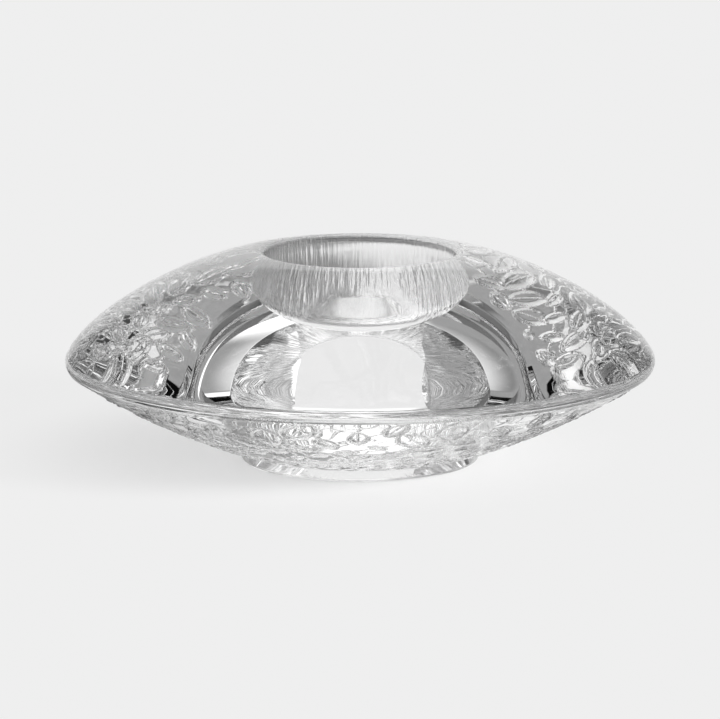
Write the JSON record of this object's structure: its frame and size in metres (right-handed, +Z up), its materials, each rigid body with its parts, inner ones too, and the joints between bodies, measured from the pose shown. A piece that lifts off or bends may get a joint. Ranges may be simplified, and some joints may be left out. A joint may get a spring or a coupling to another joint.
{
  "type": "votive candle holder",
  "caption": "Lens-shaped clear crystal votive holder: smooth dome with a central tealight well, rounded rim, an underside pressed with scattered leaves and a short ring foot.",
  "frame": {"origin": "centre of the foot's contact ring, on the table plane", "axes": "+Z up along the axis of the lens and of its well; +X and +Y are any two level directions, since the body is round"},
  "size_m": [0.14, 0.14, 0.05],
  "materials": {
    "crystal": "clear cast crystal, fire-polished dome and well, a leaf relief pressed into the underside"
  },
  "bodies": {
    "root": {"glass_body": "crystal"}
  },
  "joints": []
}
